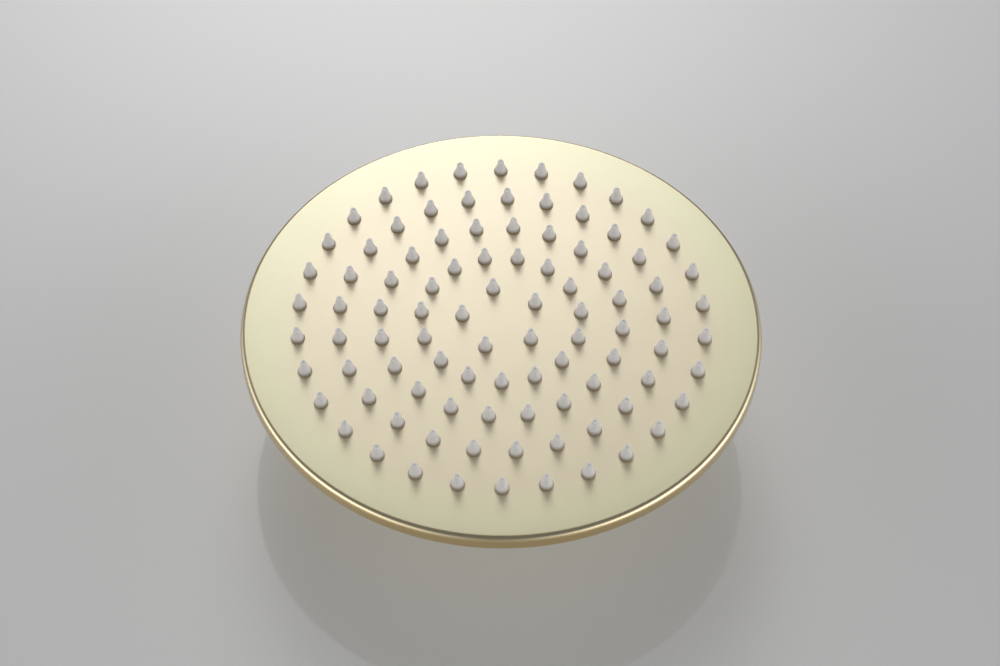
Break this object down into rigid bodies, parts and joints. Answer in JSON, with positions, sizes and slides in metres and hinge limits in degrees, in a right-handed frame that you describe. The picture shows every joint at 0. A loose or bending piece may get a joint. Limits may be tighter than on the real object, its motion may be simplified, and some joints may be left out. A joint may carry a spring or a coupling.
{
  "type": "shower head",
  "caption": "Round rain shower head with a thin gently domed face, rings of soft nozzles and a ball joint with a threaded inlet.",
  "frame": {"origin": "middle of the inlet's end face, on which the part stands face up", "axes": "+Z along the inlet's axis towards the spray face, +X along the nut's wrench flats"},
  "size_m": [0.2, 0.2, 0.0625],
  "materials": {
    "plated_steel": "satin pale gold coating on pressed stainless sheet",
    "plated_brass": "satin pale gold coating on turned brass",
    "nozzle_silicone": "moulded grey silicone, soft matt",
    "seal_rubber": "moulded black rubber",
    "slip_plastic": "turned white acetal",
    "screen_steel": "punched stainless sheet",
    "restrictor_plastic": "moulded white plastic"
  },
  "bodies": {
    "inlet": {"ball_inlet": "plated_brass", "inlet_washer": "seal_rubber", "filter_screen": "screen_steel", "flow_restrictor": "restrictor_plastic"},
    "slip": {"slip_ring": "slip_plastic"},
    "seal": {"ball_seal": "seal_rubber"},
    "head": {"socket": "plated_brass", "swivel_nut": "plated_brass", "back_plate": "plated_steel", "face_plate": "plated_steel", "nozzle_ring_1": "nozzle_silicone", "nozzle_ring_2": "nozzle_silicone", "nozzle_ring_3": "nozzle_silicone", "nozzle_ring_4": "nozzle_silicone", "nozzle_ring_5": "nozzle_silicone"}
  },
  "joints": [
    {"name": "tilt_front_back", "type": "hinge", "parent": "inlet", "child": "slip", "pos_m": [0, 0, 0.028], "axis": [1, 0, 0], "range_deg": [-15, 15]},
    {"name": "tilt_side_to_side", "type": "hinge", "parent": "slip", "child": "seal", "pos_m": [0, 0, 0.028], "axis": [0, 1, 0], "range_deg": [-15, 15]},
    {"name": "spin", "type": "hinge", "parent": "seal", "child": "head", "pos_m": [0, 0, 0.028], "axis": [0, 0, 1], "continuous": true}
  ]
}
